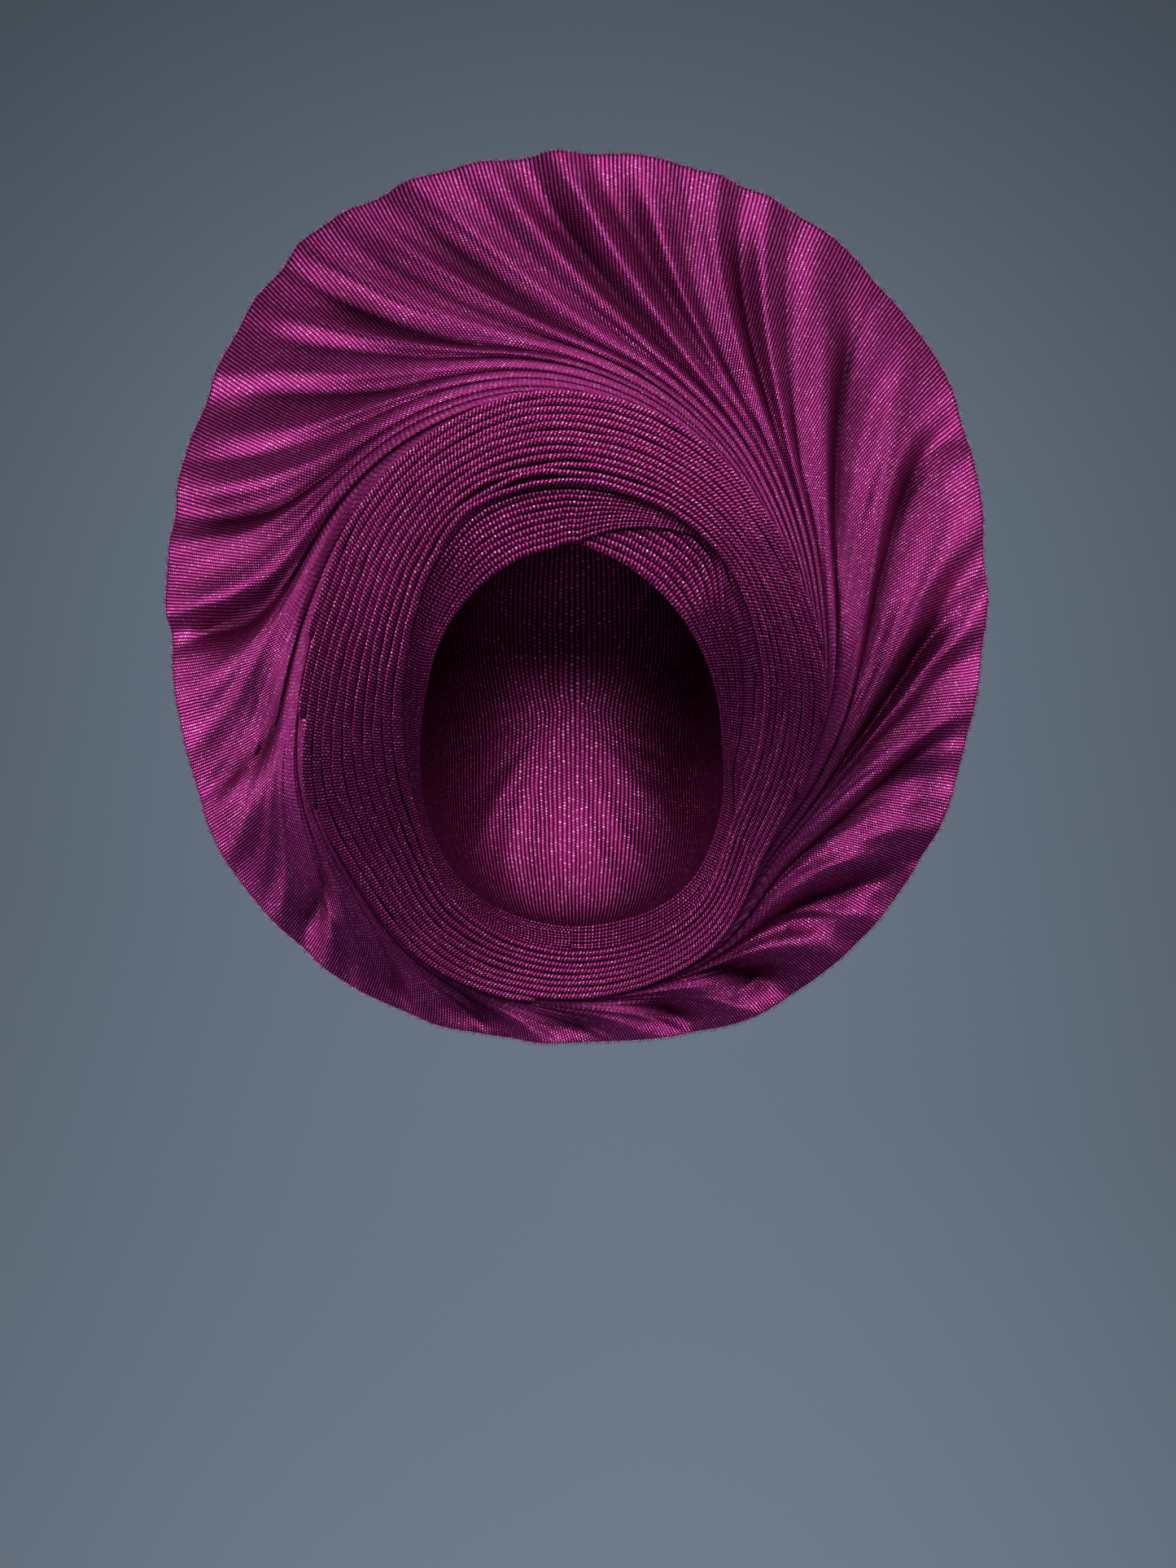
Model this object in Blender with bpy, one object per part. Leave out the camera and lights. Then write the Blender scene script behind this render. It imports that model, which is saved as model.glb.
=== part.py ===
"""Tied head tie with a round fan, built from named sizes in millimetres.

The origin is the seat on the crown, at the top of the head hollow. +X is the wearer's
left, +Y the back of the head and +Z up. Every front surface is a depth over the XZ
plane: a point has an angle round the face opening, counted from +X towards +Z, and a
radius from the opening's centre.
"""

import bpy
import numpy as np

HALF_WIDTH = 196.0     # half the breadth of the fan beside the face
CENTRE_DROP = 96.0     # centre of the face opening below the crown
CLOTH = 2.2            # wall of the stiff cloth
GAP = 0.35             # air left between layers that lie on each other
TUCK = 4.0             # how far one layer reaches under the next
BAND_LAYERS = 3.6      # stacked cloth of one forehead band
ROLL_LAYERS = 6.5      # stacked cloth of the pleat bundle at its inner edge
FOLD_DEPTH = 13.0      # deepest fold of the fan
ARCH = 0.30            # height of the cloth's arch between two valleys over its breadth
PEAKED = 1.35          # power of the arch: above 1 the crests are narrower than the valleys
BAND_FORWARD = 0.5     # how far the bands stand before the opening's edge
CROSSING_LIFT = 1.4    # how much further the upper band stands where it crosses the lower
BAND_RELIEF = 0.9      # depth of the grooves between the bands' fine pleats
ROLL_RELIEF = 1.5      # depth of the grooves between the bundle's pleats
SPLIT_FORWARD = 4.6    # how far the bundle stands before the opening's depth at its outer edge
RIM_WAVE = 0.4         # how far the rim draws in at a full valley
WRAP_DEPTH = 178.0     # forehead to the back of the wrap
KNOT = (29.0, 11.0, 12.5)   # half the knot's breadth, depth and height
KNOT_DEPTH = 75.2      # middle of the knot behind the crown seat
KNOT_DROP = 228.5      # middle of the knot below the crown seat
STATION_STEP = 6.0     # degrees between the stations of the rings

# Angle of the station, then four radii as shares of HALF_WIDTH.
STATIONS = np.array([
    # angle opening roll  split  rim
    (0,   0.330, 0.438, 0.582, 0.996),
    (20,  0.302, 0.433, 0.571, 1.078),
    (40,  0.292, 0.440, 0.583, 1.195),
    (60,  0.297, 0.447, 0.619, 1.283),
    (80,  0.314, 0.448, 0.653, 1.331),
    (100, 0.317, 0.457, 0.671, 1.328),
    (120, 0.314, 0.453, 0.656, 1.301),
    (140, 0.316, 0.418, 0.637, 1.172),
    (160, 0.327, 0.393, 0.616, 1.068),
    (180, 0.347, 0.399, 0.632, 0.994),
    (200, 0.397, 0.430, 0.678, 0.979),
    (220, 0.474, 0.495, 0.709, 0.951),
    (240, 0.551, 0.592, 0.770, 0.921),
    (260, 0.577, 0.633, 0.776, 0.893),
    (280, 0.577, 0.638, 0.760, 0.893),
    (300, 0.551, 0.602, 0.714, 0.937),
    (320, 0.464, 0.495, 0.607, 0.948),
    (340, 0.376, 0.455, 0.583, 0.969),
])
OPENING, ROLL, SPLIT, RIM = STATIONS[:, 1:].T

# Each valley between two fan folds: its angle near the rim, halfway and near the bundle, how
# deep it is at the same three places, and where the crest beyond it stands on the way to the
# next valley.
VALLEYS = np.array([
    # rim   half   root   rim   half  root crest
    (7.0,   3.0,   -2.5,  0.40, 0.60, 0.5, 0.45),
    (18.5,  12.5,  4.5,   0.55, 1.0,  1.0, 0.36),
    (35.3,  35.0,  21.0,  0.45, 1.0,  0.8, 0.30),
    (54.2,  54.4,  49.0,  0.55, 1.0,  0.9, 0.36),
    (65.5,  65.7,  63.5,  0.15, 0.8,  0.9, 0.50),
    (72.0,  72.9,  70.5,  0.30, 0.9,  0.9, 0.45),
    (78.2,  80.5,  78.5,  0.40, 0.8,  1.0, 0.50),
    (88.0,  86.8,  84.5,  0.40, 0.8,  0.7, 0.50),
    (96.0,  95.0,  92.5,  0.40, 1.0,  1.0, 0.52),
    (104.0, 102.8, 100.5, 0.35, 0.8,  0.8, 0.50),
    (111.0, 110.0, 108.5, 0.40, 1.0,  1.0, 0.55),
    (118.3, 117.2, 114.5, 0.30, 0.7,  0.8, 0.50),
    (124.4, 125.0, 124.0, 0.50, 1.0,  1.0, 0.55),
    (133.0, 132.2, 129.5, 0.20, 0.8,  0.8, 0.50),
    (141.0, 139.6, 139.0, 0.35, 0.8,  1.0, 0.55),
    (149.5, 149.0, 147.5, 0.10, 0.3,  0.6, 0.50),
    (156.0, 158.0, 158.5, 0.70, 1.0,  1.0, 0.40),
    (165.5, 166.0, 166.0, 0.10, 0.3,  0.6, 0.50),
    (171.8, 175.0, 178.0, 0.80, 1.0,  1.0, 0.30),
    (195.0, 198.0, 204.0, 0.80, 1.0,  1.0, 0.27),
    (221.6, 225.0, 232.0, 0.80, 1.0,  0.9, 0.30),
    (241.0, 243.0, 248.5, 0.50, 0.6,  0.5, 0.35),
    (257.0, 259.0, 264.5, 0.60, 0.8,  0.8, 0.40),
    (274.0, 276.0, 281.5, 0.50, 0.6,  0.6, 0.50),
    (291.0, 293.0, 297.5, 0.60, 0.8,  0.8, 0.50),
    (306.5, 308.0, 312.5, 0.70, 1.0,  1.0, 0.40),
    (333.0, 326.0, 321.0, 0.50, 1.0,  1.0, 0.35),
    (354.5, 351.7, 338.0, 0.55, 1.0,  1.0, 0.35),
])
KNOTS = (0.95, 0.70, 0.46)  # shares at which the valleys are charted
SWIRL = 11.2           # degrees by which a fold turns on its way out
SWIRL_CORE = 0.17      # share at which the turning would be endless
SPLIT_SHARE = 0.30     # share at which the fan leaves the bundle


def radius(column, angle):
    """Closed Catmull-Rom curve through one column of the stations, in millimetres."""
    place = np.asarray(angle, float) / 20.0
    first = np.floor(place).astype(int)
    t = place - first
    a, b, c, d = (column[(first + k) % len(column)] for k in (-1, 0, 1, 2))
    bend = 2 * a - 5 * b + 4 * c - d + t * (3 * (b - c) + d - a)
    return HALF_WIDTH * (b + 0.5 * t * (c - a + t * bend))


def opening(angle):
    """Edge of the face opening, with the small peak where the two bands cross."""
    peak = 2.4 * np.exp(-(((angle - 90.0) / 6.0) ** 2))
    return radius(OPENING, angle) + peak


def face_depth(angle):
    """Depth of the opening's edge: the forehead stands furthest forward."""
    t = np.radians(angle)
    return HALF_WIDTH * (-0.117 - 0.347 * np.sin(t) - 0.087 * np.cos(2 * t))


def rim_depth(angle):
    """Depth of the fan's rim, which leans back from the bundle all the way round."""
    t = np.radians(angle)
    return HALF_WIDTH * (0.148 - 0.161 * np.sin(t) - 0.036 * np.cos(2 * t))


def ease(low, high, value):
    """0 below low and 1 above high, with a smooth rise between."""
    t = np.clip((value - low) / (high - low), 0.0, 1.0)
    return t * t * (3.0 - 2.0 * t)


def place(angle, radial, depth):
    """Points from angle in degrees, radius and depth in millimetres."""
    t = np.radians(angle)
    shape = np.broadcast(t, radial, depth).shape
    points = np.empty(shape + (3,))
    points[..., 0] = radial * np.cos(t)
    points[..., 1] = depth
    points[..., 2] = radial * np.sin(t) - CENTRE_DROP
    return points


def solid(name, grid, closed, colour):
    """One body from grid[row, ring]: each row is a closed ring, and the rows close too or end in caps."""
    rows, ring = grid.shape[:2]
    index = np.arange(rows * ring).reshape(rows, ring)
    here = index if closed else index[:-1]
    there = np.roll(index, -1, axis=0) if closed else index[1:]
    quads = np.stack([here, np.roll(here, -1, axis=1), np.roll(there, -1, axis=1), there], axis=-1)
    faces = quads.reshape(-1, 4).tolist()
    if not closed:
        faces += [index[0][::-1].tolist(), index[-1].tolist()]
    points = grid.reshape(-1, 3) / 1000.0
    middle = points.mean(axis=0)
    volume = 0.0
    for face in faces:
        corners = points[face] - middle
        for k in range(1, len(face) - 1):
            volume += np.dot(corners[0], np.cross(corners[k], corners[k + 1]))
    if volume < 0:
        faces = [face[::-1] for face in faces]
    mesh = bpy.data.meshes.new(name)
    mesh.from_pydata(points.tolist(), [], faces)
    mesh.polygons.foreach_set("use_smooth", [True] * len(faces))
    material = bpy.data.materials.new(name)
    material.use_nodes = True
    shader = material.node_tree.nodes["Principled BSDF"]
    shader.inputs["Base Color"].default_value = (*colour, 1.0)
    shader.inputs["Roughness"].default_value = 0.55
    mesh.materials.append(material)
    bpy.context.scene.collection.objects.link(bpy.data.objects.new(name, mesh))


def pleated(angle, inner, outer, front_in, front_out, back_in, back_out, pleats, relief):
    """Cross-sections of a stack of pleats: a toothed front from inner to outer edge, then a plain back."""
    teeth = np.linspace(0.0, 1.0, 2 * pleats + 1)
    valley = np.where(np.arange(len(teeth)) % 2 == 0, relief, 0.0)
    across = lambda low, high, share: low[:, None] + (high - low)[:, None] * share
    front = place(angle[:, None], across(inner, outer, teeth), across(front_in, front_out, teeth) + valley)
    back_share = np.array([1.0, 0.5, 0.0])
    back = place(angle[:, None], across(inner, outer, back_share), across(back_in, back_out, back_share))
    return np.concatenate([front, back], axis=1)


for old in list(bpy.data.objects):
    bpy.data.objects.remove(old)

# Fan: one closed ring of cloth. Its folds leave the bundle almost along it and swirl out
# to the rim, with an arched crest between each pair of valleys. Each valley runs on a parabola
# through its three charted angles, on top of the swirl.
share = np.array([0.300, 0.325, 0.355, 0.390, 0.440, 0.500, 0.580, 0.680, 0.790, 0.900, 1.000])
x, (a, b, c) = np.maximum(share, 0.40), KNOTS
rim, half, root = VALLEYS[:, :3].T[:, :, None]
line = rim * (x - b) * (x - c) / ((a - b) * (a - c))
line = line + half * (x - a) * (x - c) / ((b - a) * (b - c))
line = line + root * (x - a) * (x - b) / ((c - a) * (c - b))
deep_rim, deep_half, deep_root = VALLEYS[:, 3:6].T[:, :, None]
deep = deep_root + (deep_half - deep_root) * ease(c, b, share) + (deep_rim - deep_half) * ease(b, a, share)

next_line = np.concatenate([line[1:], line[:1] + 360.0])
spacing = 0.5 * (next_line - line + np.roll(next_line - line, 1, axis=0))
steps = np.clip(np.round((next_line - line)[:, -1] / 4.4), 2, 5).astype(int)
fold = np.repeat(np.arange(len(VALLEYS)), steps)
following = (fold + 1) % len(VALLEYS)
along = np.concatenate([np.arange(n) / n for n in steps])[:, None]
rim_angle = line[fold] + along * (next_line - line)[fold]
angle = rim_angle - SWIRL * (1.0 - share) / (share - SWIRL_CORE)
out = (share - SPLIT_SHARE) / (1.0 - SPLIT_SHARE)
start = radius(SPLIT, angle) - TUCK
reach = radius(RIM, angle)
radial = start + (reach - start) * out

turn = np.radians(SWIRL) * (1.0 - SWIRL_CORE) / (share - SWIRL_CORE) ** 2
slant = 1.0 / np.hypot(1.0, radial * turn * (1.0 - SPLIT_SHARE) / (reach - start))
degree = radial * np.radians(1.0) * slant
phase = along ** (np.log(0.5) / np.log(VALLEYS[fold, 6:]))
sink = 0.0
for valley, arc in ((fold, phase), (following, 1.0 - phase)):
    arch = np.minimum(ARCH * spacing[valley] * degree, FOLD_DEPTH) * (1.0 - 0.35 * ease(0.85, 1.0, share))
    height = (0.5 - 0.5 * np.cos(2.0 * np.pi * np.minimum(arc, 0.5))) ** PEAKED
    sink = sink + deep[valley] * arch * (1.0 - height)

lean = rim_depth(angle) - face_depth(angle)
front = face_depth(angle) + 2.5 * GAP + lean * (out ** 1.1 - 0.08 * np.sin(np.pi * out)) + sink
radial = radial - RIM_WAVE * np.minimum(sink / 6.0, 1.0) * ease(0.8, 1.0, share)
thickness = CLOTH * np.minimum(1.0 + 2.2 * sink / (spacing[fold] * degree), 1.9)
fan = np.concatenate([place(angle, radial, front), place(angle, radial, front + thickness)[:, ::-1]], axis=1)
solid("fan", fan, True, (0.20, 0.02, 0.13))

# Pleat bundle: eleven rounded pleats stacked from the bands out to the fan, as a closed
# ring that narrows behind the neck.
ring = np.arange(0.0, 360.0, STATION_STEP)
lift = ease(30.0, 47.0, ring) * (1.0 - ease(125.0, 150.0, ring))
band_front = -BAND_FORWARD - CROSSING_LIFT * lift
face = face_depth(ring)
bundle = pleated(
    ring, radius(ROLL, ring), radius(SPLIT, ring),
    face + band_front - GAP - ROLL_LAYERS, face - SPLIT_FORWARD,
    face + band_front - GAP, face + GAP, 11, ROLL_RELIEF,
)
solid("pleat_bundle", bundle, True, (0.16, 0.015, 0.10))

# Upper band: ten fine pleats that fan out from the crossing on the wearer's left, cross
# the forehead in front of the lower band and run down the right side to the nape.
ring = np.concatenate([[50.0], np.arange(54.0, 265.0, STATION_STEP), [268.6]])
face = face_depth(ring)
crossing = 87.3 - 0.59 * (ring - 50.0)
inner = np.where(ring < 90.0, np.maximum(crossing, opening(ring)), opening(ring))
lift = 1.0 - ease(125.0, 150.0, ring)
front = face - BAND_FORWARD - CROSSING_LIFT * lift
upper = pleated(
    ring, inner, radius(ROLL, ring) + 2.0, front, front,
    front + BAND_LAYERS, front + BAND_LAYERS, 10, BAND_RELIEF,
)
solid("upper_band", upper, False, (0.22, 0.025, 0.15))

# Lower band: eight fine pleats from under the upper band, along the opening's edge down
# the left side to the nape.
ring = np.arange(-90.0, 121.0, STATION_STEP)
face = face_depth(ring)
inner = opening(ring) + np.maximum(ring - 90.0, 0.0) * 0.4
front = face - BAND_FORWARD + (BAND_LAYERS - CROSSING_LIFT + GAP) * ease(30.0, 47.0, ring)
lower = pleated(
    ring, inner, radius(ROLL, ring) + 2.0, front, front,
    front + BAND_LAYERS - GAP, front + BAND_LAYERS - GAP, 8, BAND_RELIEF,
)
solid("lower_band", lower, False, (0.22, 0.025, 0.15))

# Back wrap: the plain cap of cloth over the crown and the back of the head, from behind
# the bands to a low gather at the back.
ring = np.arange(0.0, 360.0, 10.0)[None, :]
row = np.array([0.0, 0.06, 0.14, 0.24, 0.36, 0.50, 0.66, 0.82, 0.95])[:, None]
quarter = 0.5 * np.pi * row
double = ease(30.0, 47.0, ring) * (1.0 - ease(120.0, 140.0, ring))
begin = face_depth(ring) - BAND_FORWARD + 1.6 * GAP + BAND_LAYERS + (BAND_LAYERS - CROSSING_LIFT) * double
depth = begin + (WRAP_DEPTH + face_depth(90.0) - begin) * np.sin(quarter)
swell = 25.0 + 21.0 * np.sin(np.radians(ring))
radial = (opening(ring) + 2.5) * np.cos(quarter) + swell * np.sin(np.pi * row)
outside = place(ring, radial, depth)
inside = place(ring, (radial - CLOTH * (np.cos(quarter) + 0.12) - 0.2), depth - CLOTH * 1.1 * np.sin(quarter))
solid("back_wrap", np.concatenate([outside[::-1], inside]), False, (0.18, 0.02, 0.12))

# Nape knot: one plain flattened knot behind the gathered ends, out of sight at the nape.
ring = np.radians(np.arange(0.0, 360.0, 20.0))[None, :]
row = np.radians(np.arange(-80.0, 81.0, 20.0))[:, None]
grid = np.empty((row.size, ring.size, 3))
grid[..., 0] = KNOT[0] * np.sin(row)
grid[..., 1] = KNOT_DEPTH + KNOT[1] * np.cos(row) * np.cos(ring)
grid[..., 2] = -KNOT_DROP + KNOT[2] * np.cos(row) * np.sin(ring)
solid("nape_knot", grid, False, (0.16, 0.015, 0.10))
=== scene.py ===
"""Looks of the tied head tie: stiff ribbed cloth with fine glitter, folded into two forehead
bands, a bundle of stacked pleats and a round swirling fan. Lengths are in millimetres until a
mesh is made, angles in degrees round the face opening, counted from +X towards +Z."""

import bpy
import mathutils
import numpy as np
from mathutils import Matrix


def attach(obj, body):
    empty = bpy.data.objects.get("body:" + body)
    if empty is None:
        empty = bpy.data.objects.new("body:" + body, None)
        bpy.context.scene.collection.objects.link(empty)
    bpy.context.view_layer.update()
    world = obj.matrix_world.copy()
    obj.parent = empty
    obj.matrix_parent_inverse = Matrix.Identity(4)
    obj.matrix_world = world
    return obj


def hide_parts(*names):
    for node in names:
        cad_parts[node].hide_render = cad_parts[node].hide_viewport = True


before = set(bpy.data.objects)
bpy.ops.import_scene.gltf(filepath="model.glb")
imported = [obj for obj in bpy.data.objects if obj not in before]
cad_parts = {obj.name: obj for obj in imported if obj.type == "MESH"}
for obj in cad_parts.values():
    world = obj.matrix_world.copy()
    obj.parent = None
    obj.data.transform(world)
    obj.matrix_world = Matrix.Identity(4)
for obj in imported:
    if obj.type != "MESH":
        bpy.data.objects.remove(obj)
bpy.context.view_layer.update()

# Lower forehead band
# Eight fine pleats of doubled cloth. They start under the upper band, follow the edge of the
# face opening down its left side, the wearer's, and run on below it towards the nape.

HALF_WIDTH = 196.0      # half the breadth of the fan beside the face opening
CENTRE_DROP = 96.0      # centre of the face opening below the crown
GAP = 0.35              # air between layers that lie on each other
BAND_LAYERS = 3.6       # stacked cloth of one forehead band
BAND_FORWARD = 0.5      # how far the bands stand before the opening's edge
CROSSING_LIFT = 1.4     # how much further the upper band stands where it crosses the lower
BAND_TUCK = 2.0         # how far the bands reach under the bundle
RIB_PITCH = 1.75        # one cord of the weave
BEAD_PITCH = 1.3        # one float of the glitter yarn along a cord
WEAVE_RELIEF = 0.00017  # height of the weave's bump, in metres
STRIP_SHIFT = 23.4      # the weave of each strip of a piece starts this much further on

# Angle of the station, then four radii as shares of HALF_WIDTH.
STATIONS = np.array([
    # angle opening roll  split  rim
    (0,   0.330, 0.438, 0.582, 0.996),
    (20,  0.302, 0.433, 0.571, 1.078),
    (40,  0.292, 0.440, 0.583, 1.195),
    (60,  0.297, 0.447, 0.619, 1.283),
    (80,  0.314, 0.448, 0.653, 1.331),
    (100, 0.317, 0.457, 0.671, 1.328),
    (120, 0.314, 0.453, 0.656, 1.301),
    (140, 0.316, 0.418, 0.637, 1.172),
    (160, 0.327, 0.393, 0.616, 1.068),
    (180, 0.347, 0.399, 0.632, 0.994),
    (200, 0.397, 0.430, 0.678, 0.979),
    (220, 0.474, 0.495, 0.709, 0.951),
    (240, 0.551, 0.592, 0.770, 0.921),
    (260, 0.577, 0.633, 0.776, 0.893),
    (280, 0.577, 0.638, 0.760, 0.893),
    (300, 0.551, 0.602, 0.714, 0.937),
    (320, 0.464, 0.495, 0.607, 0.948),
    (340, 0.376, 0.455, 0.583, 0.969),
])
OPENING, ROLL, SPLIT, RIM = STATIONS[:, 1:].T


def radius(column, angle):
    """Closed Catmull-Rom curve through one column of the stations."""
    station = np.asarray(angle, float) / STATIONS[1, 0]
    first = np.floor(station).astype(int)
    t = station - first
    a, b, c, d = (column[(first + k) % len(column)] for k in (-1, 0, 1, 2))
    bend = 2 * a - 5 * b + 4 * c - d + t * (3 * (b - c) + d - a)
    return HALF_WIDTH * (b + 0.5 * t * (c - a + t * bend))


def opening(angle):
    """Edge of the face opening: the stations plus a Gaussian peak where the bands cross."""
    return radius(OPENING, angle) + 2.4 * np.exp(-(((angle - 90.0) / 6.0) ** 2))


def face_depth(angle):
    """Depth of the opening's edge: a mean, a sine and a double cosine of the angle."""
    t = np.radians(angle)
    return HALF_WIDTH * (-0.117 - 0.347 * np.sin(t) - 0.087 * np.cos(2 * t))


def ease(low, high, value):
    """Smooth step: 0 below low, 1 above high, 3t^2 - 2t^3 between."""
    t = np.clip((value - low) / (high - low), 0.0, 1.0)
    return t * t * (3.0 - 2.0 * t)


def ripple(angle, seed, waves=(5, 9, 14, 23, 37)):
    """Closed uneven wave of about unit height: sines of whole frequencies with seeded phases."""
    phase = np.random.default_rng(seed).uniform(0.0, 2.0 * np.pi, len(waves))
    t = np.radians(angle)
    sines = (np.sin(w * t + p) / (1.0 + 0.35 * k) for k, (w, p) in enumerate(zip(waves, phase)))
    return sum(sines) / 2.0


def place(angle, radial, depth):
    """Points (r cos a, depth, r sin a - drop)."""
    t = np.radians(angle)
    points = np.empty(np.broadcast(t, radial, depth).shape + (3,))
    points[..., 0] = radial * np.cos(t)
    points[..., 1] = depth
    points[..., 2] = radial * np.sin(t) - CENTRE_DROP
    return points


def quads_of(rows, ring, closed):
    """Corner places of the quads of a grid whose ring closes, and whose rows close if asked."""
    i = np.arange(rows if closed else rows - 1)[:, None]
    j = np.arange(ring)[None, :]
    corners = [(i, j), (i, j + 1), (i + 1, j + 1), (i + 1, j)]
    return [np.broadcast_arrays(a, b) for a, b in corners]


def cloth_piece(name, strips, material):
    """One mesh from strips of (grid[row, ring, 3], along[row], round[ring], closed): quads round
    each strip, plain caps on open ends, and a UV map of lengths in metres along and round it."""
    points, corners, sizes, uv = [], [], [], []
    base = 0
    for number, (grid, along, round_, closed) in enumerate(strips):
        rows, ring = grid.shape[:2]
        round_ = round_ + STRIP_SHIFT * number
        shape = (along.shape[0], ring + 1)
        far_row = np.broadcast_to(along if along.ndim == 2 else along[:, None], shape)
        far_ring = np.broadcast_to(round_ if round_.ndim == 2 else round_[None, :], shape)
        index, u, v = [], [], []
        for i, j in quads_of(rows, ring, closed):
            index.append(base + (i % rows) * ring + j % ring)
            u.append(far_row[i, j])
            v.append(far_ring[i, j])
        index, u, v = (np.stack(x, axis=-1).reshape(-1) for x in (index, u, v))
        corners.append(index)
        uv.append(np.stack([u, v], axis=-1))
        sizes.append(np.full(len(index) // 4, 4))
        if not closed:
            for row in (0, rows - 1):
                cap = np.arange(ring)[::-1] if row == 0 else np.arange(ring)
                corners.append(base + row * ring + cap)
                uv.append(np.stack([far_row[row, cap], far_ring[row, cap]], axis=-1))
                sizes.append(np.array([ring]))
        points.append(grid.reshape(-1, 3))
        base += rows * ring
    points = np.concatenate(points) / 1000.0
    corners, sizes, uv = (np.concatenate(x) for x in (corners, sizes, uv))
    starts = np.concatenate([[0], np.cumsum(sizes)[:-1]])
    mesh = bpy.data.meshes.new(name)
    mesh.vertices.add(len(points))
    mesh.vertices.foreach_set("co", points.reshape(-1))
    mesh.loops.add(len(corners))
    mesh.loops.foreach_set("vertex_index", corners)
    mesh.polygons.add(len(sizes))
    mesh.polygons.foreach_set("loop_start", starts)
    mesh.update(calc_edges=True)
    mesh.polygons.foreach_set("use_smooth", np.ones(len(sizes), bool))
    mesh.uv_layers.new(name="weave").data.foreach_set("uv", (uv / 1000.0).reshape(-1))
    mesh.validate()
    mesh.materials.append(material)
    piece = bpy.data.objects.new(name, mesh)
    bpy.context.scene.collection.objects.link(piece)
    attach(piece, "root")
    return piece


class Socket:
    """A shader value: + - * / and ** add the Math nodes, and node() adds any other node."""

    def __init__(self, tree, socket):
        self.tree = tree
        self.socket = socket

    def node(self, kind, inputs=(), output=0, **settings):
        made = self.tree.nodes.new(kind)
        for key, value in settings.items():
            setattr(made, key, value)
        for key, value in dict(inputs).items():
            if isinstance(value, Socket):
                self.tree.links.new(value.socket, made.inputs[key])
            else:
                made.inputs[key].default_value = value
        return Socket(self.tree, made.outputs[output])

    def math(self, operation, other=0.0):
        return self.node("ShaderNodeMath", {0: self, 1: other}, operation=operation)

    def __add__(self, other):
        return self.math("ADD", other)

    def __mul__(self, other):
        return self.math("MULTIPLY", other)

    def __sub__(self, other):
        return self.math("SUBTRACT", other)

    def __truediv__(self, other):
        return self.math("DIVIDE", other)

    def __pow__(self, other):
        return self.math("POWER", other)

    def __rsub__(self, other):
        return self.node("ShaderNodeMath", {0: other, 1: self}, operation="SUBTRACT")

    __radd__ = __add__
    __rmul__ = __mul__

    def within(self, low, high):
        """0 at low and 1 at high, held at both."""
        return self.node(
            "ShaderNodeMapRange",
            {"Value": self, "From Min": low, "From Max": high},
            clamp=True,
        )


def mix(share, low, high):
    """Colour between two colours by a share."""
    return share.node(
        "ShaderNodeMix", {0: share, 6: low, 7: high}, output=2, data_type="RGBA",
    )


def ribbed_cloth(name, deep, bright, glitter, slant=0.0):
    """Cords RIB_PITCH apart with staggered floats of glitter yarn along each. The bump is the
    cord's cosine times the float's, and the slant leans the cords across the surface. The colour
    runs from the deep colour between the cords and floats to the bright one on their tops, which
    is painted shade in the grooves, with random tone from two noises. A point attribute, where a
    piece has one, darkens the colour further: painted shade on the floor of its deep folds."""
    material = bpy.data.materials.new(name)
    material.use_nodes = True
    tree = material.node_tree
    shader = tree.nodes["Principled BSDF"]
    start = Socket(tree, None)
    coordinates = start.node("ShaderNodeTexCoord", output=2)
    split = coordinates.node("ShaderNodeSeparateXYZ", {0: coordinates})
    along = split * 1000.0
    across = Socket(tree, split.socket.node.outputs[1]) * 1000.0
    body = start.node("ShaderNodeTexCoord", output=3)
    drift = start.node("ShaderNodeTexNoise", {"Vector": body, "Scale": 60.0, "Detail": 2.0})
    cord = (along + across * slant) / RIB_PITCH + drift * 0.6
    number = cord.math("FLOOR")
    row = across / BEAD_PITCH + number * 0.5
    cord_round = (cord * (2.0 * np.pi)).math("COSINE") * -0.5 + 0.5
    bead_round = (row * (2.0 * np.pi)).math("COSINE") * -0.5 + 0.5
    weave = cord_round * (bead_round * 0.55 + 0.45)

    cell = start.node("ShaderNodeCombineXYZ", {0: number, 1: row.math("FLOOR")})
    chance = start.node("ShaderNodeTexWhiteNoise", {"Vector": cell}, noise_dimensions="2D")
    spark = chance.within(0.35, 1.0) ** 3.5 * (bead_round * cord_round) ** 2.0
    cloud = start.node("ShaderNodeTexNoise", {"Vector": body, "Scale": 30.0, "Detail": 3.0})
    thread = start.node("ShaderNodeTexNoise", {"Vector": body, "Scale": 520.0, "Detail": 2.0})
    # Painted shade: the colour darkens between the cords and between the floats, by the same weave
    # that makes the bump.
    shade = (weave * 1.45 + thread * 0.35 + cloud * 0.25 - 0.42).within(0.0, 1.0)
    base = mix(shade, (*deep, 1.0), (*bright, 1.0))
    base = mix(spark, base, (*glitter, 1.0))
    # Painted shade: where the point attribute is set, the colour darkens towards half the deep
    # colour.
    painted_shade = start.node("ShaderNodeAttribute", output=2, attribute_name="painted_shade")
    base = mix(painted_shade, base, (*(0.5 * np.array(deep)), 1.0))
    height = weave + thread * 0.25
    relief = {"Strength": 1.0, "Distance": WEAVE_RELIEF, "Height": height}
    bump = start.node("ShaderNodeBump", relief)
    for key, value in (
        ("Base Color", base),
        ("Roughness", 0.39 - spark * 0.12 + thread * 0.06),
        ("Metallic", spark * 0.1 + 0.80),
        ("Normal", bump),
    ):
        tree.links.new(value.socket, shader.inputs[key])
    shader.inputs["Specular IOR Level"].default_value = 0.20
    shader.inputs["Specular Tint"].default_value = (0.85, 0.30, 0.60, 1.0)
    return material


def run(points):
    """Length run along a line of points, starting from 0."""
    return np.concatenate([[0.0], np.cumsum(np.linalg.norm(np.diff(points, axis=0), axis=-1))])


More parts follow.
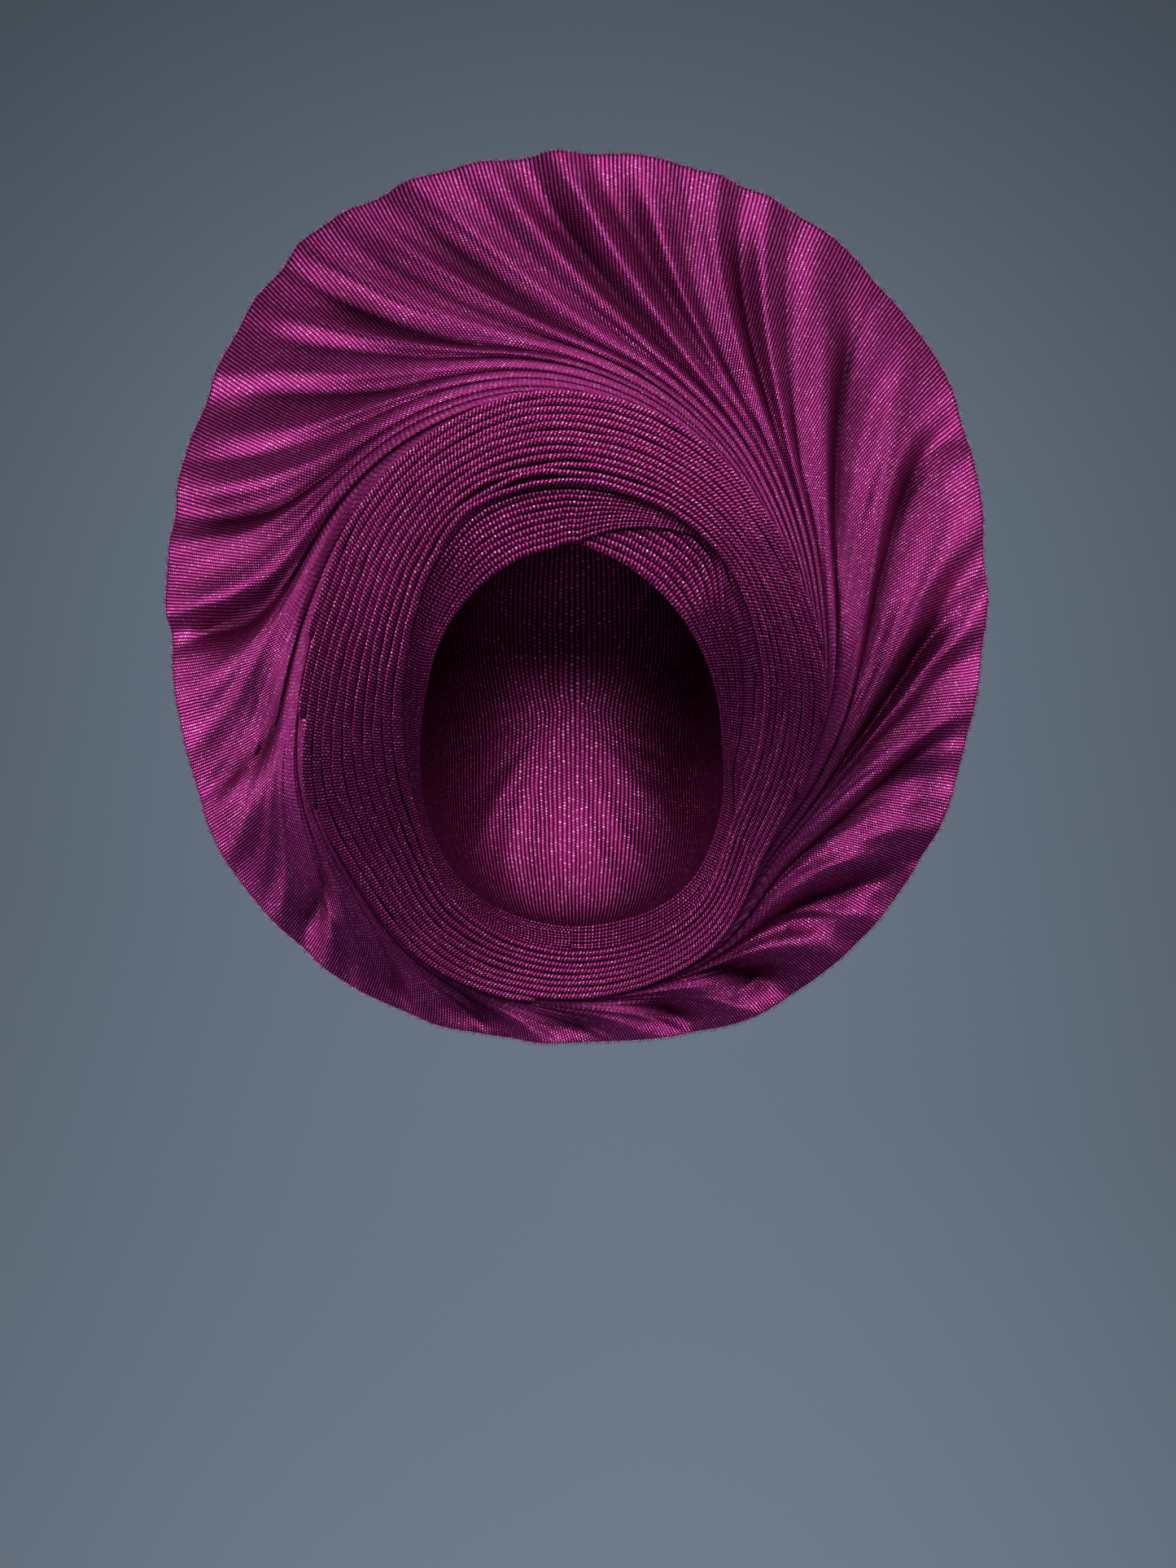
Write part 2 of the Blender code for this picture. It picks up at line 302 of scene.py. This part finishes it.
def fold(angle, middle, nose, half, length, sides=5, plump=1.0, tilt=0.0):
    """A doubled edge of cloth run along the angle: its section is a half superellipse at the nose
    and two straight walls that run back and draw in slightly. A tilt sinks its inner side."""
    turn = np.radians(np.linspace(-90.0, 90.0, 2 * sides - 1))
    bow = np.sign(turn) * np.abs(np.sin(turn)) ** 0.85
    across = np.concatenate([[-0.78, -0.95], bow, [0.95, 0.78]])
    roundness = np.minimum(plump * 1.1 * half, 0.45 * length)[:, None]
    front = roundness * (1.0 - np.cos(turn) ** 0.75) + (tilt * half)[:, None] * (1.0 - bow) * 0.5
    back = length[:, None] * np.array([1.0, 0.55])
    depth = nose[:, None] + np.concatenate([back, front, back[:, ::-1]], axis=1)
    grid = place(angle[:, None], middle[:, None] + half[:, None] * across, depth)
    middle_row = grid[len(grid) // 2]
    around = run(np.concatenate([middle_row, middle_row[:1]]))
    return grid, run(grid[:, sides + 1]), around, False


def backing(angle, inner, outer, depth, thick):
    """The cloth that the folds stand on: a flat band between two radii, with four corners."""
    radial = np.stack([inner, outer, outer, inner], axis=1)
    deep = np.stack([depth - thick, depth - thick, depth, depth], axis=1)
    grid = place(angle[:, None], radial, deep)
    width = float(np.mean(outer - inner))
    around = np.array([0.0, width, width + thick, 2.0 * width + thick, 2.0 * (width + thick)])
    return grid, run(grid[:, 0]), around, False


def crossed(angle):
    """1 from where the upper band passes over the lower one, 0 before it on the wearer's left."""
    return ease(30.0, 47.0, angle)


def puckered(angle):
    """1 on the wearer's left, where the lower band is narrower and loose folds fill the space."""
    return ease(-42.0, -22.0, angle) * (1.0 - ease(26.0, 48.0, angle))


def pleats(angle, inner, outer, nose, length, count, wave, seed):
    """Side by side folds between two radii. Each wanders by a tenth of its breadth, and its nose
    lies 0.15 deeper than the nose given, plus a wave."""
    pitch = (outer - inner) / count
    made = []
    for k in range(count):
        wobble = 0.10 * pitch * ripple(angle, seed + k)
        dip = wave * ripple(angle, seed + 20 + k) + 0.15
        made.append(fold(
            angle, inner + pitch * (k + 0.5) + wobble, nose + dip, pitch * 0.49,
            np.full_like(angle, length) - dip, tilt=np.full_like(angle, 0.35),
        ))
    return made


def ended(angle, low, high, taper=4.0):
    """Rounded ends: 0 at both ends of a run, 1 beyond the taper."""
    near = np.clip((angle - low) / taper, 0.0, 1.0) * np.clip((high - angle) / taper, 0.0, 1.0)
    return np.sqrt(np.clip(near * (2.0 - near), 0.0004, 1.0))


LOWER_PLEATS = 8
BACKING = 0.8           # cloth that a stack of folds stands on
PUCKER_ROOM = 11.0      # breadth that the loose folds take from the lower band
GROOVE_SHADE = (0.020, 0.0008, 0.0085)      # painted shade: the colour between the cords
GLITTER = (0.95, 0.36, 0.72)        # colour of the glitter yarn

band_cloth = ribbed_cloth("band_cloth", GROOVE_SHADE, (0.36, 0.030, 0.20), GLITTER)
ring = np.linspace(-91.2, 120.0, 420)
inner = opening(ring) + np.maximum(ring - 90.0, 0.0) * 0.4
under_bundle = radius(ROLL, ring) + BAND_TUCK
outer = under_bundle - PUCKER_ROOM * puckered(ring)
nose = face_depth(ring) - BAND_FORWARD + (BAND_LAYERS - CROSSING_LIFT + GAP) * crossed(ring)
strips = pleats(
    ring, inner, outer, nose, BAND_LAYERS - GAP - BACKING, LOWER_PLEATS, wave=0.22, seed=40,
)
strips.append(backing(ring, inner, under_bundle, nose + BAND_LAYERS - GAP, BACKING))
# Two loose folds fill the space up to the bundle on the wearer's left, and pucker.
ring = np.linspace(-40.0, 46.0, 240)
room = PUCKER_ROOM * puckered(ring)
start = radius(ROLL, ring) + BAND_TUCK - room
for k, (low, high) in enumerate(((0.0, 0.52), (0.48, 1.0))):
    middle = start + room * 0.5 * (low + high) + 0.5 * ripple(ring, 80 + k, (9, 17, 31, 52))
    nose = face_depth(ring) - BAND_FORWARD + 0.5 - 0.4 * k
    nose = nose + 0.35 * ripple(ring, 90 + k, (11, 19, 33, 57))
    strips.append(fold(
        ring, middle, nose, np.maximum(0.5 * room * (high - low), 0.15),
        np.full_like(ring, BAND_LAYERS - 1.0), tilt=np.full_like(ring, 0.3),
    ))
lower_band = cloth_piece("lower_band_cloth", strips, band_cloth)
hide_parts("lower_band")

# Upper forehead band
# Ten fine pleats of doubled cloth that spread from the crossing point on the wearer's left, pass
# over the forehead in front of the lower band and run down the right side to the nape.

UPPER_PLEATS = 10
UPPER_START = 50.0      # angle of the crossing point
EDGE_THERE = 87.3       # radius of the band's lower edge at the crossing point
EDGE_FALL = 0.59        # how much that radius falls with each degree


def lying_free(angle):
    """1 over the forehead, 0 on the right side, where the lower band has ended."""
    return 1.0 - ease(125.0, 150.0, angle)


ring = np.linspace(UPPER_START, 268.8, 430)
edge = EDGE_THERE - EDGE_FALL * (ring - UPPER_START)
inner = np.where(ring < 90.0, np.maximum(edge, opening(ring)), opening(ring))
outer = radius(ROLL, ring) + BAND_TUCK
nose = face_depth(ring) - BAND_FORWARD - CROSSING_LIFT * lying_free(ring)
strips = pleats(ring, inner, outer, nose, BAND_LAYERS - BACKING, UPPER_PLEATS, wave=0.20, seed=140)
strips.append(backing(ring, inner, outer, nose + BAND_LAYERS, BACKING))
upper_band = cloth_piece("upper_band_cloth", strips, band_cloth)
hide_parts("upper_band")

# Pleat bundle
# The cloth above the bands is folded into stacked rounded pleats. Eight go right round. On the
# wearer's left four more start in rounded tips, and on the right they leave again for the fan.

ROLL_LAYERS = 6.5       # stacked cloth of the bundle at its inner edge
SPLIT_FORWARD = 4.6     # how far the bundle stands before the opening's depth at its outer edge
BUNDLE_PLEATS = 12
BUNDLE_RADIUS = 110.0   # radius along which the weave of the cloth under the pleats is measured


def both_bands(angle):
    """1 where the upper band lies on the lower one, and so stands further forward."""
    return crossed(angle) * lying_free(angle)


def pleats_across(angle):
    """How many pleats lie between the bundle's two edges: 8, rising to 12 and falling again."""
    gained = 4.0 * ease(-45.0, 50.0, angle)
    return 8.0 + gained - 2.77 * ease(150.0, 215.0, angle) - 1.23 * ease(225.0, 290.0, angle)


pleat_cloth = ribbed_cloth("pleat_cloth", GROOVE_SHADE, (0.38, 0.032, 0.21), GLITTER, slant=0.45)
whole_ring = np.linspace(-60.0, 300.0, 601)
strips = []
for k in range(BUNDLE_PLEATS):
    share = (k + 0.5) / pleats_across(whole_ring)
    kept = whole_ring[share < 1.0]
    closed = len(kept) == len(whole_ring)
    ring = kept[:-1] if closed else np.linspace(kept[0] - 1.5, kept[-1] + 1.5, len(kept))
    share = (k + 0.5) / pleats_across(ring)
    inner, outer = radius(ROLL, ring), radius(SPLIT, ring)
    pitch = (outer - inner) / pleats_across(ring)
    size = 1.0 if closed else ended(ring, ring[0], ring[-1])
    over_band = BAND_FORWARD + CROSSING_LIFT * both_bands(ring) + GAP
    seat = face_depth(ring) - over_band * (1.0 - share) + GAP * share
    deep = ROLL_LAYERS + (SPLIT_FORWARD + GAP - ROLL_LAYERS) * share
    # Over the forehead the innermost pleats lie loose, with dark gaps between them.
    loose = np.exp(-(((ring - 108.0) / 30.0) ** 2) - (k / 2.5) ** 2)
    thick = pitch * (0.497 + 0.02 * ripple(ring, 20 + k)) * (1.0 - 0.24 * loose)
    plump = 0.55 + 0.5 * np.exp(-((k - 1.0) / 3.0) ** 2)
    middle = inner + pitch * (k + 0.5) + pitch * 0.10 * ripple(ring, k)
    middle = middle + pitch * 0.30 * loose * ripple(ring, 300 + k, (7, 11, 17))
    nose = seat - deep * (0.55 + 0.45 * size) + 0.45 * ripple(ring, 220 + k) + 0.25
    grid, along, around, _ = fold(
        ring, middle, nose, thick * size, seat - BACKING - nose,
        sides=6, plump=plump, tilt=np.full_like(ring, 0.30),
    )
    if closed:
        along = np.append(along, along[-1] + np.linalg.norm(grid[0, 6] - grid[-1, 6]))
    strips.append((grid, along, around, closed))
# The cloth under the pleats.
ring = np.linspace(-60.0, 300.0, 361)[:-1]
inner, outer = radius(ROLL, ring) + 0.5, radius(SPLIT, ring) - 0.5
seat_in = face_depth(ring) - BAND_FORWARD - CROSSING_LIFT * both_bands(ring) - GAP
seat_out = face_depth(ring) + GAP
corners = np.stack([inner, outer, outer, inner], axis=1)
depths = np.stack([seat_in - BACKING, seat_out - BACKING, seat_out, seat_in], axis=1)
lengths = np.radians(np.append(ring, 300.0) + 60.0) * BUNDLE_RADIUS
around = np.array([0.0, 40.0, 41.0, 81.0, 82.0])
strips.append((place(ring[:, None], corners, depths), lengths, around, True))
bundle = cloth_piece("pleat_bundle_cloth", strips, pleat_cloth)
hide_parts("pleat_bundle")

# Fan
# One wide ring of stiff cloth. Its folds leave the bundle almost along it, swirl out and open
# to a wavy rim. Some valleys reach the rim and others fade on the way.

FAN_CLOTH = 1.0         # thickness of the cloth
TUCK = 4.0              # how far the fan reaches under the bundle
FOLD_DEPTH = 14.0       # deepest fold
CREASE = 0.35           # depth of a full valley's narrow floor over its half width
ARCH = 0.42             # height of the cloth's arch between two valleys over its breadth
HIGHEST_ARCH = 15.0
PEAKED = 1.50           # power of the arch's height: above 1 the crests are the narrower
RIM_WAVE = 0.4          # how far the rim draws in at a full valley
SWIRL = 9.9             # degrees by which a fold turns on its way out
SWIRL_CORE = 0.23       # share at which the turning would be endless
SPLIT_SHARE = 0.30      # share at which the fan leaves the bundle
HOOK = 5.0              # degrees by which the folds turn more where they slip under the bundle
KNOTS = (0.95, 0.70, 0.46)   # shares at which the valleys are charted
CORD_SWIRL = 0.25       # the weave's cords turn this share of the folds' turning
CORD_RADIUS = 225.0     # radius along which the breadth of the weave is measured
WAVE_HEIGHT = 1.9       # broad unevenness of the cloth
FINE_HEIGHT = 0.35      # fine unevenness
FAN_ROWS = 92
STEPS_PER_DEGREE = 1.95
FEWEST_STEPS, MOST_STEPS = 15, 42    # steps between two valleys
FLOOR_SHADE = 0.9       # how dark the painted shade on the floor of a full valley is
# Two places beside the face opening where shade near the bundle is painted onto the fan: the angle
# of each, and how dark that painted shade is.
SIDE_SHADES = ((25.0, 0.36), (158.0, 0.26))

# Each valley between two folds: its angle near the rim, halfway and near the bundle, how deep
# it is at the same three places, its half width in degrees, and where the crest beyond it
# stands on the way to the next valley.
VALLEYS = np.array([
    # rim   half   root   rim   half  root  width crest
    (7.0,   3.0,   0.0,   0.40, 0.60, 0.5,  1.9,  0.45),
    (18.5,  12.5,  7.0,   0.55, 1.0,  1.0,  3.0,  0.36),
    (35.3,  35.0,  23.5,  0.45, 1.0,  0.8,  2.4,  0.30),
    (54.2,  54.4,  51.5,  0.55, 1.0,  0.9,  2.5,  0.36),
    (65.5,  65.7,  66.0,  0.15, 0.6,  0.9,  0.9,  0.50),
    (72.0,  72.9,  73.0,  0.50, 1.0,  0.9,  1.5,  0.45),
    (78.2,  80.5,  81.0,  0.40, 0.5,  1.0,  1.2,  0.50),
    (88.0,  86.8,  87.0,  0.60, 1.0,  0.7,  1.3,  0.50),
    (96.0,  95.0,  95.0,  0.55, 1.0,  1.0,  1.6,  0.52),
    (104.0, 102.8, 103.0, 0.35, 0.5,  0.8,  0.8,  0.50),
    (111.0, 110.0, 111.0, 0.60, 1.0,  1.0,  1.7,  0.55),
    (118.3, 117.2, 117.0, 0.30, 0.7,  0.8,  0.8,  0.50),
    (124.4, 125.0, 126.5, 0.60, 1.0,  1.0,  1.6,  0.55),
    (133.0, 132.2, 132.0, 0.20, 0.6,  0.8,  0.8,  0.50),
    (141.0, 139.6, 141.5, 0.50, 0.7,  1.0,  1.4,  0.55),
    (149.5, 149.0, 150.0, 0.10, 0.3,  0.6,  0.9,  0.50),
    (156.0, 158.0, 161.0, 0.70, 1.0,  1.0,  1.8,  0.40),
    (165.5, 166.0, 168.5, 0.10, 0.3,  0.6,  0.9,  0.50),
    (171.8, 175.0, 180.5, 0.80, 1.0,  1.0,  2.0,  0.30),
    (195.0, 198.0, 206.5, 0.70, 0.8,  0.9,  2.4,  0.27),
    (221.6, 225.0, 234.5, 0.60, 0.7,  0.7,  2.6,  0.30),
    (241.0, 243.0, 251.0, 0.50, 0.6,  0.5,  2.0,  0.35),
    (257.0, 259.0, 267.0, 0.60, 0.8,  0.8,  2.0,  0.40),
    (274.0, 276.0, 284.0, 0.50, 0.6,  0.6,  2.0,  0.50),
    (291.0, 293.0, 300.0, 0.60, 0.8,  0.8,  2.0,  0.50),
    (306.5, 308.0, 315.0, 0.70, 1.0,  1.0,  2.0,  0.40),
    (333.0, 326.0, 323.5, 0.50, 1.0,  1.0,  2.0,  0.35),
    (354.5, 351.7, 340.5, 0.55, 1.0,  1.0,  2.0,  0.35),
])


def rim_depth(angle):
    """Depth of the rim, which leans back all the way round: a mean, a sine, a double cosine."""
    t = np.radians(angle)
    return HALF_WIDTH * (0.148 - 0.161 * np.sin(t) - 0.036 * np.cos(2 * t))


def charted(columns, share):
    """Parabola through the three charted values of each valley, level below share 0.40."""
    x, (a, b, c) = np.maximum(share, 0.40), KNOTS
    rim, half, root = columns.T[:, :, None]
    return (
        rim * (x - b) * (x - c) / ((a - b) * (a - c))
        + half * (x - a) * (x - c) / ((b - a) * (b - c))
        + root * (x - a) * (x - b) / ((c - a) * (c - b))
    )


share = SPLIT_SHARE + (1.0 - SPLIT_SHARE) * np.linspace(0.0, 1.0, FAN_ROWS) ** 1.35
line = charted(VALLEYS[:, :3], share) - HOOK * (1.0 - ease(0.35, 0.47, share))
steep_rim, steep_half, steep_root = VALLEYS[:, 3:6].T[:, :, None]
steep = steep_root + (steep_half - steep_root) * ease(KNOTS[2], KNOTS[1], share)
steep = steep + (steep_rim - steep_half) * ease(KNOTS[1], KNOTS[0], share)
valley_width = VALLEYS[:, 6:7] * (1.0 + 0.9 * ease(0.75, 0.97, share))
skew = np.log(0.5) / np.log(VALLEYS[:, 7:])

next_line = np.concatenate([line[1:], line[:1] + 360.0])
spacing = 0.5 * (next_line - line + np.roll(next_line - line, 1, axis=0))
steps = np.round((next_line - line)[:, -1] * STEPS_PER_DEGREE)
steps = np.clip(steps, FEWEST_STEPS, MOST_STEPS).astype(int)
first = np.repeat(np.arange(len(VALLEYS)), steps)
second = (first + 1) % len(VALLEYS)
plain = np.concatenate([np.arange(n) / n for n in steps])[:, None]
near = plain + 0.085 * np.sin(-2.0 * np.pi * plain)
width = (next_line - line)[first]
rim_angle = line[first] + near * width

turned = SWIRL * (1.0 - share) / (share - SWIRL_CORE)
angle = rim_angle - turned
out = (share - SPLIT_SHARE) / (1.0 - SPLIT_SHARE)
start = radius(SPLIT, angle) - TUCK
reach = radius(RIM, angle)
radial = start + (reach - start) * out

# A valley's wall is steep on the side of the smaller angle and easy on the other. Near the
# bundle the cloth between two valleys is a round tube.
turn = np.radians(SWIRL) * (1.0 - SWIRL_CORE) / (share - SWIRL_CORE) ** 2
slant = 1.0 / np.hypot(1.0, radial * turn * (1.0 - SPLIT_SHARE) / (reach - start))
degree = radial * np.radians(1.0) * slant
tube = 1.0 - ease(0.36, 0.54, share)
phase = near ** skew[first]
calm = 1.0 - 0.55 * ease(0.76, 1.0, share)
# Strength of the painted shade on the valley floors: it fades towards the rim and in the tubes near
# the bundle.
shaded = (1.0 - 0.9 * ease(0.78, 0.97, share)) * (1.0 - 0.6 * tube)
sink = 0.0
# Painted shade on each valley's floor, following the trough of its shape.
painted_shade = 0.0
for valley, away, easy, arc in ((first, near, 1.3, phase), (second, 1.0 - near, 0.7, 1.0 - phase)):
    arch = np.minimum(ARCH * spacing[valley] * degree, HIGHEST_ARCH) * calm
    bell = 1.0 - (0.5 - 0.5 * np.cos(2.0 * np.pi * np.minimum(arc, 0.5))) ** PEAKED
    crease = np.minimum(CREASE * valley_width[valley] * degree, FOLD_DEPTH)
    trough = (1.0 + (away * width / (valley_width[valley] * easy)) ** 2) ** -1.5
    round_side = 1.0 - np.sqrt(1.0 - np.clip(1.0 - 2.0 * away, 0.0, 1.0) ** 2)
    tall = np.minimum(0.55 * width * degree, FOLD_DEPTH)
    sink = sink + steep[valley] * (arch * bell + crease * trough) * (1.0 - tube)
    sink = sink + steep[valley] * tall * round_side * tube
    painted_shade = painted_shade + steep[valley] * trough ** 0.5 * shaded

# Painted shade on the fan near the bundle, beside the face opening.
for at, most in SIDE_SHADES:
    around_it = np.exp(10.0 * (np.cos(np.radians(angle - at)) - 1.0))
    painted_shade = painted_shade + most * around_it * (1.0 - ease(0.50, 0.90, share))

lean = rim_depth(angle) - face_depth(angle)
waves = WAVE_HEIGHT * ripple(rim_angle + 6.0 * share, 7, (23, 37, 48, 61)) * ease(0.45, 0.85, share)
fine = FINE_HEIGHT * ripple(rim_angle - 3.0 * share, 8, (61, 87, 118, 149)) * ease(0.32, 0.5, share)
front = face_depth(angle) + 2.5 * GAP + lean * (out ** 1.1 - 0.08 * np.sin(np.pi * out))
front = front + sink + waves + fine
radial = radial - RIM_WAVE * np.minimum(sink / 6.0, 1.0) * ease(0.8, 1.0, share)
back = front + FAN_CLOTH * np.minimum(1.0 + 0.1 * sink, 1.9)
grid = np.concatenate([place(angle, radial, front), place(angle, radial, back)[:, ::-2]], axis=1)
cords = np.radians(rim_angle + (CORD_SWIRL - 1.0) * turned + 400.0) * CORD_RADIUS
cords = np.concatenate([cords, cords[:, ::-2], cords[:, :1]], axis=1)
cords = np.concatenate([cords, cords[:1] + 2.0 * np.pi * CORD_RADIUS])
lengths = np.concatenate([radial, radial[:, ::-2], radial[:, :1]], axis=1)
lengths = np.concatenate([lengths, lengths[:1]])
fan_cloth = ribbed_cloth("fan_cloth", (0.028, 0.0010, 0.0135), (0.52, 0.050, 0.31), (1.0, 0.42, 0.80))
fan = cloth_piece("fan_cloth_ring", [(grid, cords, lengths, True)], fan_cloth)
# The painted shade is stored on the points of the fan's front face; the back face gets none.
shade = FLOOR_SHADE * np.clip(painted_shade, 0.0, 1.0)
shade = np.concatenate([shade, np.zeros_like(back[:, ::-2])], axis=1)
fan.data.attributes.new("painted_shade", "FLOAT", "POINT").data.foreach_set("value", shade.reshape(-1))
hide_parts("fan")

# Rim fringe
# The rim is a cut edge of the fan's own cloth: the ends of the weave's cords stand out of it all
# round, by one to two millimetres.

FRINGE_STEP = 0.36      # degrees between two cords' ends
FRINGE_LENGTH = 1.9     # longest end
FRINGE_ROOT = 0.6       # how far an end starts inside the rim
HALF_CORD = 0.30        # half the breadth of an end where it leaves the rim

tip_angle = np.arange(0.0, 360.0, FRINGE_STEP)
rim_angles = angle[:, -1] % 360.0
order = np.argsort(rim_angles)
edge_radius = np.interp(tip_angle, rim_angles[order], radial[order, -1], period=360.0)
edge_depth = np.interp(tip_angle, rim_angles[order], front[order, -1], period=360.0)
uneven = np.random.default_rng(5).uniform(0.5, 1.0, len(tip_angle))
a, r, y = (values[:, None, None] for values in (tip_angle, edge_radius, edge_depth))
# Each end is a three-sided spike: three corners inside the rim and three, closer, outside it.
rows = np.stack([np.full_like(uneven, -FRINGE_ROOT), FRINGE_LENGTH * uneven], axis=1)[:, :, None]
side = np.array([HALF_CORD, -HALF_CORD, 0.0]) * np.array([[1.0], [0.35]])
deep = np.array([0.25, 0.25, 0.75]) * np.array([[1.0], [0.6]])
spikes = place(a + np.degrees(side / r), r + rows, y + deep + rows * 0.25)
strips = [
    (spike, at + np.array([0.0, 1.0]), np.linspace(0.0, 1.5, 4), False)
    for spike, at in zip(spikes, tip_angle)
]
fringe = cloth_piece("rim_fringe", strips, fan_cloth)

# Back wrap
# The plain cap of cloth over the crown and the back of the head. It starts behind the bands and
# closes low at the back in soft gathers.

WRAP_DEPTH = 178.0      # forehead to the back of the wrap
WRAP_CLOTH = 1.4        # thickness of the doubled cloth
WRAP_ROWS = 90
LAST_ROW = 0.998        # share of the way to the pole at which the rows end
SWELL = 25.0            # how far the cap swells out half way back
SWELL_ABOVE = 21.0      # how much more it does so above, and less below
WRAP_LENGTH = 140.0     # cloth between the pole at the back and the opening

ring = np.linspace(0.0, 360.0, 361)[None, :-1]
row = np.linspace(0.0, LAST_ROW, WRAP_ROWS)[:, None]
quarter = 0.5 * np.pi * row
double = ease(30.0, 47.0, ring) * (1.0 - ease(120.0, 140.0, ring))
begin = face_depth(ring) - BAND_FORWARD + 1.6 * GAP + BAND_LAYERS
begin = begin + (BAND_LAYERS - CROSSING_LIFT) * double
depth = begin + (WRAP_DEPTH + face_depth(90.0) - begin) * np.sin(quarter)
swell = SWELL + SWELL_ABOVE * np.sin(np.radians(ring))
gathers = 0.6 * ripple(ring + 26.0 * row, 11, (9, 14, 23, 31))
gathers = gathers * ease(0.2, 0.5, row) * (1.0 - ease(0.5, 0.95, row))
radial = (opening(ring) + 2.5) * np.cos(quarter) + swell * np.sin(np.pi * row)
outside = place(ring, radial + gathers * np.cos(quarter), depth + gathers * np.sin(quarter))
inside = place(
    ring, radial - WRAP_CLOTH * (np.cos(quarter) + 0.12) + gathers * np.cos(quarter),
    depth - WRAP_CLOTH * 1.1 * np.sin(quarter) + gathers * np.sin(quarter),
)
grid = np.concatenate([outside[::-1], inside])
from_pole = np.linspace(0.0, WRAP_LENGTH, WRAP_ROWS)
from_pole = np.concatenate([from_pole, from_pole[::-1]])[:, None]
turn = np.radians(np.append(ring, 360.0))
along, round_ = from_pole * np.cos(turn), from_pole * np.sin(turn)
wrap_cloth = ribbed_cloth("wrap_cloth", GROOVE_SHADE, (0.30, 0.024, 0.16), (0.85, 0.32, 0.66))
wrap = cloth_piece("back_wrap_cloth", [(grid, along, round_, False)], wrap_cloth)
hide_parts("back_wrap")

# Nape knot
# The gathered ends of the cloth are closed low at the back in one flat knot of the same cloth,
# ridged along its length.

KNOT = (29.0, 11.0, 12.5)   # half the knot's breadth, depth and height
KNOT_DEPTH = 75.2           # the knot's middle behind the frame's origin
KNOT_DROP = 228.5           # and below it

around = np.radians(np.linspace(0.0, 360.0, 97))[None, :-1]
row = np.radians(np.linspace(-89.0, 89.0, 60))[:, None]
ridge = 1.0 - 0.09 * np.abs(np.sin(4.0 * around + 0.8 * row)) ** 0.6 * np.cos(row) ** 0.5
grid = np.empty((row.size, around.size, 3))
grid[..., 0] = KNOT[0] * np.sin(row)
grid[..., 1] = KNOT_DEPTH + KNOT[1] * np.cos(row) * np.cos(around) * ridge
grid[..., 2] = -KNOT_DROP + KNOT[2] * np.cos(row) * np.sin(around) * ridge
knot = cloth_piece(
    "nape_knot_cloth",
    [(grid, np.linspace(0.0, 70.0, row.size), np.linspace(0.0, 74.0, around.size + 1), False)],
    wrap_cloth,
)
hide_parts("nape_knot")

# Room
# A pale seamless floor that curves up into the backdrop, soft square studio lamps, and a level
# camera in front of the face opening, about a metre away.

FLOOR_DROP = 1.15       # metres from the frame's origin down to the floor
FLOOR_BEND = 1.2        # radius of the curve from the floor up into the backdrop
FLOOR_HALF = 4.0        # half the floor's breadth
WARM = (1.0, 0.97, 0.96)
MILD = (1.0, 0.98, 0.97)

paper = bpy.data.materials.new("pale_paper")
paper.use_nodes = True
surface = paper.node_tree.nodes["Principled BSDF"]
surface.inputs["Base Color"].default_value = (0.080, 0.106, 0.142, 1.0)
surface.inputs["Roughness"].default_value = 0.9
bend = np.radians(np.linspace(0.0, 90.0, 16))
profile_y = np.concatenate([[-3.5], FLOOR_BEND + FLOOR_BEND * np.sin(bend), [2.0 * FLOOR_BEND]])
profile_z = np.concatenate([[0.0], FLOOR_BEND - FLOOR_BEND * np.cos(bend), [4.0]]) - FLOOR_DROP
across = (-FLOOR_HALF, FLOOR_HALF)
floor_points = [(x, y, z) for x in across for y, z in zip(profile_y, profile_z)]
count = len(profile_y)
floor_faces = [(k, k + 1, k + 1 + count, k + count) for k in range(count - 1)]
floor_mesh = bpy.data.meshes.new("floor")
floor_mesh.from_pydata(floor_points, [], [face[::-1] for face in floor_faces])
floor_mesh.polygons.foreach_set("use_smooth", [True] * len(floor_faces))
floor_mesh.materials.append(paper)
floor = bpy.data.objects.new("floor", floor_mesh)
bpy.context.scene.collection.objects.link(floor)


def lamp(name, at, towards, size, power, colour):
    """Square soft lamp at a point, turned towards another."""
    data = bpy.data.lights.new(name, "AREA")
    data.size = size
    data.energy = power
    data.color = colour
    made = bpy.data.objects.new(name, data)
    bpy.context.scene.collection.objects.link(made)
    made.location = at
    aim = mathutils.Vector(towards) - mathutils.Vector(at)
    made.rotation_euler = aim.to_track_quat("-Z", "Y").to_euler()


lamp("top", (0.0, -0.40, 1.50), (0.0, 0.0, 0.0), 1.10, 15.0, WARM)
lamp("right", (1.45, -0.15, 0.10), (0.0, 0.0, -0.06), 0.90, 14.0, WARM)
lamp("left", (-1.45, -0.20, -0.30), (0.0, 0.0, -0.08), 0.90, 20.0, WARM)
lamp("front", (0.15, -1.9, 0.75), (0.0, 0.0, -0.06), 0.90, 45.0, MILD)
lamp("back", (0.35, 1.30, 0.80), (0.0, 0.0, -0.05), 1.0, 16.0, MILD)
lamp("backdrop", (0.0, 0.9, 0.3), (0.0, 2.4, -0.9), 0.9, 26.0, (1.0, 1.0, 1.0))

world = bpy.data.worlds.new("studio")
world.use_nodes = True
world.node_tree.nodes["Background"].inputs["Color"].default_value = (0.86, 0.82, 0.82, 1.0)
world.node_tree.nodes["Background"].inputs["Strength"].default_value = 0.05
bpy.context.scene.world = world
bpy.context.scene.view_settings.view_transform = "Standard"

camera_data = bpy.data.cameras.new("portrait")
camera_data.lens = 48.0
camera_data.sensor_width = 36.0
camera = bpy.data.objects.new("portrait", camera_data)
bpy.context.scene.collection.objects.link(camera)
camera.location = (0.006, -0.995, -0.138)
camera.rotation_euler = (np.radians(90.0), 0.0, 0.0)
bpy.context.scene.camera = camera
